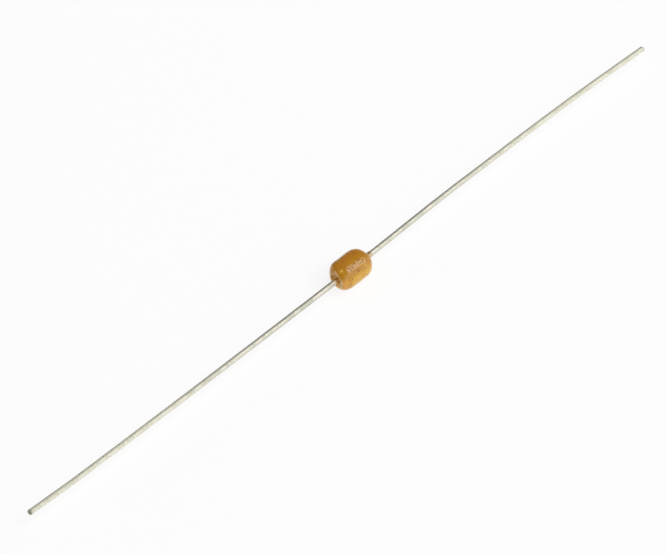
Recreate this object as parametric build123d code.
from build123d import *
import math
import os

# Axial-lead ceramic capacitor. A multilayer ceramic chip has a metal cup fired on each end, a wire
# lead with a nail head soldered to each cup, and an epoxy coat dipped over the lot.
# Millimetres. X runs along the leads, Y across them and Z up. The origin is under the middle of the
# coat, on the surface that the coat rests on.

# Ceramic chip
chip_length = 2.0
chip_width = 1.25
chip_height = 1.0
chip_bevel = 0.08            # broken on every edge by tumbling before firing

# Electrode plates, printed inside the chip and led out at the left and the right end in turn
plates_per_side = 8
plate_thickness = 0.02
dielectric = 0.03            # ceramic between two neighbouring plates
plate_end_margin = 0.25      # ceramic past a plate's blind end
plate_side_margin = 0.15     # ceramic beside a plate

# End terminations, metal cups that wrap the chip's ends
cup_wall = 0.04
cup_band = 0.3               # how far a cup reaches back along the chip

# Wire leads
lead_diameter = 0.5
left_lead_reach = 37.97      # from the coat's end to the wire's tip
right_lead_reach = 38.41
nail_head_diameter = 0.9
nail_head_thickness = 0.18
nail_head_bevel = 0.05       # on both rims of the nail head
tip_bevel = 0.06             # left where the wire was cut
straight_past_resin = 0.2    # wire that stays in line past the end of the resin

# Gentle bends left by handling. A station is a share of the lead's reach, and an offset is how far
# across the lead's line the wire is there
left_near_station = 0.1
left_near_offset = -0.16
left_middle_station = 0.5
left_middle_offset = -0.235
left_far_station = 0.87
left_far_offset = -0.19
left_tip_offset = -0.03
right_near_station = 0.28
right_near_offset = 0.235
right_far_station = 0.72
right_far_offset = 0.22
right_tip_offset = -0.115
bend_share = 0.45            # of the shorter run beside a bend, taken up by the bend's arc

# Solder joints between the cups and the nail heads
solder_film = 0.03           # between a cup's end and the nail head
solder_overhang = 0.04       # how far the joint wraps back round the cup's edge
solder_base_radius = 0.5
solder_rim = 0.03            # solder outside the nail head's rim
solder_cover = 0.02          # solder over the nail head's outer face
solder_climb = 0.12          # how far the solder climbs the wire
solder_knee = 0.25           # share of the climb and of the drop at which the hollow turns

# Epoxy coat
coat_length = 3.86
coat_width = 2.68
coat_height = 2.54
coat_corner = 1.15           # radius of the four long edges
coat_shoulder = 1.12         # radius where the flanks turn into the ends
coat_end_drop = 0.13         # how much shorter each end is than a full dome
dimple_diameter = 0.98       # where the resin drew back round each lead
dimple_depth = 0.2
meniscus_foot = 0.12         # resin outside the wire, at the bottom of the dimple
meniscus_neck = 0.05         # resin outside the wire, at the end of the coat
meniscus_waist = 0.3         # share of the way up at which the meniscus has lost most of its girth
run_out_edge = 0.03          # resin outside the wire, where its run-out stops
left_run_out = 0.2           # resin drawn out along the left lead
right_run_out = 0.8

wire_radius = lead_diameter / 2
coat_end = coat_length / 2
axis_height = coat_height / 2
cup_end = chip_length / 2 + cup_wall
head_start = cup_end + solder_film
head_end = head_start + nail_head_thickness
left_bends = (
    (left_near_station, left_near_offset),
    (left_middle_station, left_middle_offset),
    (left_far_station, left_far_offset),
    (1.0, left_tip_offset),
)
right_bends = (
    (right_near_station, right_near_offset),
    (right_far_station, right_far_offset),
    (1.0, right_tip_offset),
)


def bevelled_block(length, width, height, bevel):
    block = Box(length, width, height)
    return chamfer(block.edges(), bevel)


def turned(*outline):
    """A solid turned about X from a closed outline of (x, radius) points."""
    return revolve(make_face(Polyline(*outline, close=True)), Axis.X)


def chip_block():
    return bevelled_block(chip_length, chip_width, chip_height, chip_bevel)


def cup_block():
    """The right cup and the end of the chip inside it, as one block of the chip's shape grown by the wall."""
    grow = 2 * cup_wall
    bevel = chip_bevel + (2 - math.sqrt(2)) * cup_wall
    whole = bevelled_block(chip_length + grow, chip_width + grow, chip_height + grow, bevel)
    reach = cup_band + cup_wall
    end = Pos(cup_end - reach / 2, 0, 0) * Box(reach, chip_width + 2 * grow, chip_height + 2 * grow)
    return whole & end


def plate(number, side):
    """Plate number 0 is the lowest of its side, and the sides take turns up the stack."""
    level = 2 * number + (0 if side < 0 else 1)
    pitch = plate_thickness + dielectric
    height = (level - (2 * plates_per_side - 1) / 2) * pitch
    length = chip_length - plate_end_margin
    width = chip_width - 2 * plate_side_margin
    return Pos(side * plate_end_margin / 2, 0, height) * Box(length, width, plate_thickness)


def nail_head():
    radius = nail_head_diameter / 2
    inner = radius - nail_head_bevel
    return turned(
        (head_start, 0), (head_start, inner), (head_start + nail_head_bevel, radius),
        (head_end - nail_head_bevel, radius), (head_end, inner), (head_end, 0))


def lead(reach, bends, run_out):
    """A right-hand lead: a nail head, a straight stretch and gentle bends in the XY plane."""
    corners = [(head_start, 0), (coat_end + run_out + straight_past_resin, 0)]
    corners += [(coat_end + share * reach, offset) for share, offset in bends]
    runs = [Vector(*b) - Vector(*a) for a, b in zip(corners, corners[1:])]
    radii = []
    for before, after in zip(runs, runs[1:]):
        half_turn = math.radians(before.get_angle(after)) / 2
        radii.append(bend_share * min(before.length, after.length) / math.tan(half_turn))
    path = FilletPolyline(*corners, radius=radii)
    wire = sweep(Plane(path @ 0, z_dir=path % 0) * Circle(wire_radius), path)
    tip = wire.faces().sort_by_distance(path @ 1)[0]
    return chamfer(tip.edges(), tip_bevel) + nail_head()


def solder_block():
    """Solder and all that it encloses: it wraps the nail head and climbs the wire in a hollow."""
    rim = nail_head_diameter / 2 + solder_rim
    back = (head_end + solder_cover, rim - nail_head_bevel)
    top = (back[0] + solder_climb, wire_radius + solder_cover)
    knee = (back[0] + solder_knee * solder_climb, top[1] + solder_knee * (back[1] - top[1]))
    foot = cup_end - solder_overhang
    return turned(
        (foot, 0), (foot, solder_base_radius), (head_end - nail_head_bevel, rim),
        back, knee, top, (top[0], 0))


def coat_block():
    """The outside of the dipped coat, before its ends are finished: a plump block with domed ends, which
    stop short where the resin ran down."""
    corner = min(coat_corner, 0.46 * min(coat_width, coat_height))
    shoulder = min(coat_shoulder, 0.98 * corner, 0.45 * coat_length)
    section = Plane.YZ * RectangleRounded(coat_width, coat_height, corner)
    block = extrude(section, coat_end + coat_end_drop, both=True)
    ends = block.faces().filter_by(Axis.X)
    block = fillet(ends.edges(), shoulder)
    return block & Box(coat_length, 2 * coat_width, 2 * coat_height)


def dimple():
    """The shallow bowl in the right end of the coat, a piece of a ball."""
    mouth = dimple_diameter / 2
    ball_radius = (mouth ** 2 + dimple_depth ** 2) / (2 * dimple_depth)
    return Pos(coat_end - dimple_depth + ball_radius, 0, 0) * Sphere(ball_radius)


def run_out_collar(length):
    """Resin that climbs out of the right dimple in a hollow and thins out along the wire."""
    root = coat_end - 2 * dimple_depth
    foot = coat_end - dimple_depth
    waist = coat_end - (1 - meniscus_waist) * dimple_depth
    edge = coat_end + length
    slim = wire_radius + meniscus_neck + meniscus_waist * (meniscus_foot - meniscus_neck)
    return turned(
        (root, 0), (root, wire_radius + meniscus_foot), (foot, wire_radius + meniscus_foot),
        (waist, slim), (coat_end, wire_radius + meniscus_neck), (edge, wire_radius + run_out_edge),
        (edge, 0))


def to_left(right_piece):
    return mirror(right_piece, about=Plane.YZ)


def build():
    right_lead = lead(right_lead_reach, right_bends, right_run_out)
    left_lead = to_left(lead(left_lead_reach, left_bends, left_run_out))
    cup = cup_block() - chip_block()
    solder = solder_block()
    chip = chip_block()
    nodes = {}
    for side, name in ((-1, "left"), (1, "right")):
        for number in range(plates_per_side):
            electrode = plate(number, side)
            nodes[f"{name}_electrode_{number + 1:02d}"] = electrode
            chip -= electrode
    nodes["ceramic_chip"] = chip
    nodes["left_termination"] = to_left(cup)
    nodes["right_termination"] = cup
    nodes["left_lead"] = left_lead
    nodes["right_lead"] = right_lead
    nodes["left_solder"] = to_left(solder - cup_block()) - left_lead
    nodes["right_solder"] = solder - cup_block() - right_lead
    coat = coat_block() - dimple() - to_left(dimple())
    coat += run_out_collar(right_run_out)
    coat += to_left(run_out_collar(left_run_out))
    coat -= chip_block()
    for block in (cup_block(), solder):
        coat = coat - block - to_left(block)
    nodes["epoxy_coat"] = coat - left_lead - right_lead
    return {name: Pos(0, 0, axis_height) * shape for name, shape in nodes.items()}


if __name__ == "__main__":
    os.makedirs("parts", exist_ok=True)
    for name, shape in build().items():
        export_step(shape, f"parts/{name}.step")
